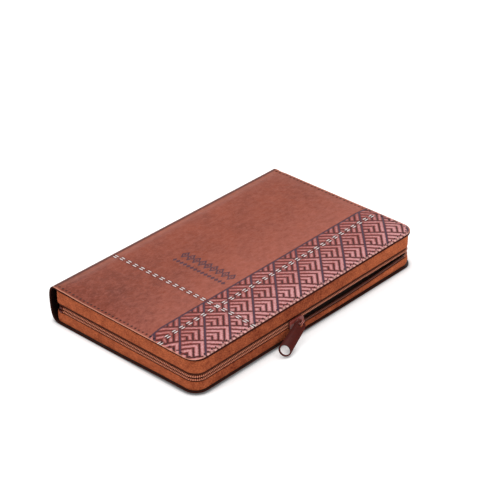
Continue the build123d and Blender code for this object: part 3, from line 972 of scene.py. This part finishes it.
def turnOn(bm, edges, centre):
    # a quarter turn
    geom = edges + list(dict.fromkeys(vert for edge in edges for vert in edge.verts))
    made = bmesh.ops.spin(
        bm, geom=geom, cent=(*centre, 0), axis=(0, 0, 1), dvec=(0, 0, 0), angle=math.pi / 2,
        steps=strips["turnSteps"], use_duplicate=False)
    return [g for g in made["geom_last"] if isinstance(g, bmesh.types.BMEdge)]


def tailRun(bm, section, inset, curled=True):
    tailY = inset - case["half"]
    if curled:
        radius, spineEnd = strips["curlRadius"], strips["spineEnd"]
        startX = spineEnd + radius
        edges = closedLoop(bm, [(spineEnd - out, tailY + radius, z) for out, z in section])
        endCap(bm, edges)
        edges = turnOn(bm, edges, (startX, tailY + radius))
    else:
        startX = strips["rowStart"]
        edges = closedLoop(bm, [(startX, tailY - out, z) for out, z in section])
        endCap(bm, edges)
    edges = runOn(bm, edges, case["bendX"] - startX, 0, strips["sideSteps"])
    return turnOn(bm, edges, (case["bendX"], -case["bendY"]))


def headRun(bm, edges, inset, curled=True):
    radius = strips["curlRadius"]
    endX = strips["spineEnd"] + radius if curled else strips["rowStart"]
    edges = turnOn(bm, edges, (case["bendX"], case["bendY"]))
    edges = runOn(bm, edges, endX - case["bendX"], 0, strips["sideSteps"])
    if curled:
        edges = turnOn(bm, edges, (endX, case["half"] - inset - radius))
    endCap(bm, edges)


def alongEdge(x, y, inset):
    # distance along the strip, with its nought at the middle of the fore edge
    bendX, bendY = case["bendX"], case["bendY"]
    radius = case["corner"] - inset
    if abs(y) <= bendY and x > bendX:
        return y
    side = 1 if y > 0 else -1
    if x > bendX:
        return side * (bendY + radius * math.atan2(abs(y) - bendY, x - bendX))
    return side * (bendY + radius * math.pi / 2 + bendX - x)


def dropAt(y):
    # how far the lower row hangs below its closed place
    knots = [strips["closedEnd"], *strips["knots"]]
    drops = [0.0, *strips["drops"]]
    if y <= knots[0]:
        return 0.0
    for a, b, first, last in zip(knots, knots[1:], drops, drops[1:]):
        if y <= b:
            return first + (last - first) * (y - a) / (b - a)
    return drops[-1]


def letDown(bm, top, bowShare):
    # the open stretch hangs lower, and its cloth bows outward as it shortens
    base = strips["floorLine"]
    for vert in bm.verts:
        x, y, z = vert.co
        drop = dropAt(y)
        if not bowShare:
            vert.co.z = z - drop
            continue
        share = min(max((z - base) / (top - base), 0), 1.1)     # the hem hangs a little further
        vert.co.z = z - drop * share
        bow = bowShare * drop * math.sin(math.pi * min(share, 1))
        if x > case["bendX"] and abs(y) <= case["bendY"]:
            vert.co.x += bow
        elif x > case["bendX"]:
            centre = Vector((case["bendX"], math.copysign(case["bendY"], y), vert.co.z))
            vert.co += (vert.co - centre).normalized() * bow
        else:
            vert.co.y += math.copysign(bow, y)


def finishStrip(name, bm, material, body, inset, coil=False):
    bmesh.ops.recalc_face_normals(bm, faces=bm.faces[:])
    if coil:     # its ribs follow the distance along the row
        layer = bm.loops.layers.uv.new("coil")
        for loop in [loop for face in bm.faces for loop in face.loops]:
            x, y, z = loop.vert.co
            loop[layer].uv = (alongEdge(x, y, inset) * mm, z * mm)
    piece = newPiece(name, bm, [material], sharpAngle=75, scale=mm)
    if body:
        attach(piece, body)
    return piece


def upperStrip(name, section, inset, material, coil=False):
    bm = bmesh.new()
    edges = tailRun(bm, section, inset, not coil)
    edges = runOn(bm, edges, 0, 2 * case["bendY"], strips["foreSteps"])
    headRun(bm, edges, inset, not coil)
    return finishStrip(name, bm, material, "front", inset, coil)


def lowerStrip(name, section, inset, material, hang, coil=False, moving=None):
    # the ends ride on the back; the fore run is made in two lengths, closed and open
    top, bowShare = hanging[hang]
    moving = moving or {"closed": material, "open": material}
    bm = bmesh.new()
    tailRun(bm, section, inset, not coil)
    edges = foreRing(bm, section, inset, case["bendY"])
    headRun(bm, edges, inset, not coil)
    letDown(bm, top, bowShare)
    ends = finishStrip(name + "_ends", bm, material, "back", inset, coil)
    lengths = []
    closedPlaces = [-case["bendY"], strips["closedEnd"], strips["nose"]]
    for part, places in (("closed", closedPlaces), ("open", strips["knots"])):
        bm = bmesh.new()
        edges = foreRing(bm, section, inset, places[0])
        for a, b in zip(places, places[1:]):
            edges = runOn(bm, edges, 0, b - a)
        letDown(bm, top, bowShare)
        lengths.append(finishStrip(name + "_" + part, bm, moving[part], None, inset, coil))
    closed, opened = lengths
    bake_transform(closed)
    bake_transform(opened)
    return [ends, closed, opened]


def coilSection(middle):
    count = coilSide["points"]
    depth, height = coilSide["depth"], coilSide["height"]
    turns = [2 * math.pi * i / count for i in range(count)]
    return [(depth * math.cos(turn), middle - height * math.sin(turn)) for turn in turns]


upperGusset = upperStrip("upper_gusset_cloth", gussetUpper, strips["gussetInset"], gussetCloth)
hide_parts("upper_gusset")
gussetRun = 2 * (case["bendX"] - strips["spineEnd"] - strips["curlRadius"]) + 2 * case["bendY"]
gussetRun += math.pi * (case["corner"] - strips["gussetInset"] + strips["curlRadius"])
upperTape = upperStrip("upper_tape_cloth", tapeUpper, tapeInset, tapeCloth)
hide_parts("upper_zip_tape")
upperCoil = upperStrip(
    "upper_coil", coilSection(coilSide["upper"]), strips["chainInset"], nylonCoil, coil=True)
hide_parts("upper_zip_teeth")

lowerGussets = lowerStrip(
    "lower_gusset_cloth", gussetLower, strips["gussetInset"], gussetCloth, "gusset")
lowerTapes = lowerStrip("lower_tape_cloth", tapeLower, tapeInset, tapeCloth, "tape")
lowerCoils = lowerStrip(
    "lower_coil", coilSection(coilSide["lower"]), strips["chainInset"], nylonCoil, "coil",
    coil=True, moving={"closed": slidingCoil, "open": shadedOpenCoil})
for pieces, node, slot in (
        (lowerGussets, "lower_gusset", "gusset_fabric"),
        (lowerTapes, "lower_zip_tape", "zip_tape"),
        (lowerCoils, "lower_zip_teeth", "zip_coil")):
    for piece in pieces:
        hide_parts(node)
print("bible: gussets and zip done")

castings = {
    "pullEdge": 0.3, "sliderEdge": 0.35, "loopEdge": 0.3,
    "ringRadius": 4.35,  # drawn in from all that lies past ringOver
    "ringOver": 4.4,
    "neck": 4.0,  # the ring starts this far before the hole's middle
    "windowEnd": 3.4,  # drawn back from windowFrom
    "windowFrom": 5.0,
    "windowHalf": 1.6,
    "near": 0.1,
    "sharp": math.radians(40),
}


def pullAxes():
    # the plate's own axes: along it from the pin to the hole, across it, and through it
    record = frame["record"]
    joint = next(j for j in record["behaviour"]["joints"] if j["name"] == "pull_swing")
    hole = next(m for m in record["mounts"] if m["name"] == "pull_hole")
    pin = Vector(joint["pos_m"])
    through = Vector(hole["axis"]).normalized()
    along = (Vector(hole["pos_m"]) - pin).normalized()
    across = through.cross(along).normalized()
    axes = Matrix((along, across, through)).transposed().to_4x4()
    return Matrix.Translation(pin) @ axes, (Vector(hole["pos_m"]) - pin).length / mm


def slimPull(bm):
    # the cast plate narrows to a thin ring, and its window is no longer than the swing needs
    axes, reach = pullAxes()
    back = axes.inverted()
    for vert in bm.verts:
        place = back @ vert.co / mm
        atEnd = abs(place.x - castings["windowFrom"]) < castings["near"]
        if atEnd and abs(place.y) < castings["windowHalf"]:
            place.x = castings["windowEnd"]
        fromHole = Vector((place.x - reach, place.y))
        pastNeck = place.x > reach - castings["neck"]
        if fromHole.length > castings["ringOver"] and pastNeck:
            fromHole *= castings["ringRadius"] / fromHole.length
            place.x, place.y = reach + fromHole.x, fromHole.y
        vert.co = axes @ (place * mm)


def roundedCopy(name, node, body, width, material, reshape=None):
    # the cast piece again, its sharp edges rounded; on the slider they get a painted highlight
    bm = bmesh.new()
    bm.from_mesh(bpy.data.objects[node].data)
    bmesh.ops.remove_doubles(bm, verts=bm.verts[:], dist=1e-6)
    bmesh.ops.dissolve_limit(bm, angle_limit=math.radians(1), verts=bm.verts[:], edges=bm.edges[:])
    if reshape:
        reshape(bm)
    for face in bm.faces:
        face.material_index = 0
    sharp = [edge for edge in bm.edges if isFold(edge, castings["sharp"])]
    bmesh.ops.bevel(
        bm, geom=sharp, offset=width * mm, segments=2, profile=0.5, affect="EDGES", material=1,
        clamp_overlap=True)
    edgeMaterial = enamelEdgeHighlight if material is litSliderEnamel else material
    copy = newPiece(name, bm, [material, edgeMaterial], sharpAngle=35)
    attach(copy, body)
    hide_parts(node)


roundedCopy("pull_plate", "zip_pull", "pull", castings["pullEdge"], enamelledZinc, slimPull)
roundedCopy("slider_casting", "slider_body", "slider", castings["sliderEdge"], litSliderEnamel)
roundedCopy("slider_loop", "slider_bridge", "slider", castings["loopEdge"], litSliderEnamel)


def makeLining(name, node, body, inset=2.4):
    # woven cloth glued inside the cover, a little short of its edges
    low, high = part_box(node)
    bm = bmesh.new()
    hinge, fore, half = case["hinge"], case["fore"] - inset, case["half"] - inset
    radius = case["corner"] - inset
    coverOutline(bm, hinge, fore, half, radius, 6)
    thicken(bm, (high.z - low.z) / mm)
    bmesh.ops.translate(bm, verts=bm.verts[:], vec=(0, 0, low.z / mm))
    lining = newPiece(name, bm, [liningCloth], scale=mm)
    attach(lining, body)
    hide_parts(node)


makeLining("front_lining_cloth", "front_cover_lining", "front")
makeLining("back_lining_cloth", "back_cover_lining", "back")


def addStitch(bm, x, y, z, angle, size):
    # a short swollen length of thread
    made = bmesh.ops.create_uvsphere(bm, u_segments=8, v_segments=5, radius=1.0)
    place = Matrix.Translation((x, y, z)) @ Matrix.Rotation(angle, 4, "Z")
    place @= Matrix.Diagonal((*size, 1))
    bmesh.ops.transform(bm, matrix=place, verts=made["verts"])


def edgeRow(name, face, bulge, lean):
    bm = bmesh.new()
    for x, y, angle in edgeWalk(stitching["edgeInset"], stitching["edgePitch"]):
        addStitch(bm, x, y, face + bulge(x, y), angle + lean, stitching["edgeSize"])
    return newPiece(name, bm, [brownThread], scale=mm)


upperFace = case["top"] + stitching["edgeSunk"]
frontRow = edgeRow("front_edge_stitches", upperFace, coverRise, stitching["edgeLean"])
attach(frontRow, "front")
backRow = edgeRow("back_edge_stitches", stitching["backFace"], rimCurl, -stitching["edgeLean"])
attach(backRow, "back")

bm = bmesh.new()
halfGap = stitching["dashGap"] / 2
for i in range(stitching["crossMarks"]):
    x = stitching["crossStart"] + i * stitching["crossPitch"]
    for side in (-halfGap, halfGap):
        y = stitching["crossRow"] + side
        z = case["top"] + stitching["dashProud"] + coverRise(x, y)
        addStitch(bm, x, y, z, 0.0, stitching["dashSize"])
crossRow = newPiece("cross_row_stitches", bm, [whiteThread], scale=mm)
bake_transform(crossRow)

bm = bmesh.new()
for i in range(stitching["longMarks"]):
    y = stitching["longStart"] + i * stitching["longPitch"]
    x = stitching["longRow"] + stitching["longLean"] * y
    for side in (-halfGap, halfGap):
        z = case["top"] + stitching["dashProud"] + coverRise(x + side, y)
        addStitch(bm, x + side, y, z, math.pi / 2 - stitching["longLean"], stitching["dashSize"])
longRow = newPiece("long_row_stitches", bm, [whiteThread], scale=mm)
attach(longRow, "front")
print("bible: stitching done")

print("bible: all pieces made")
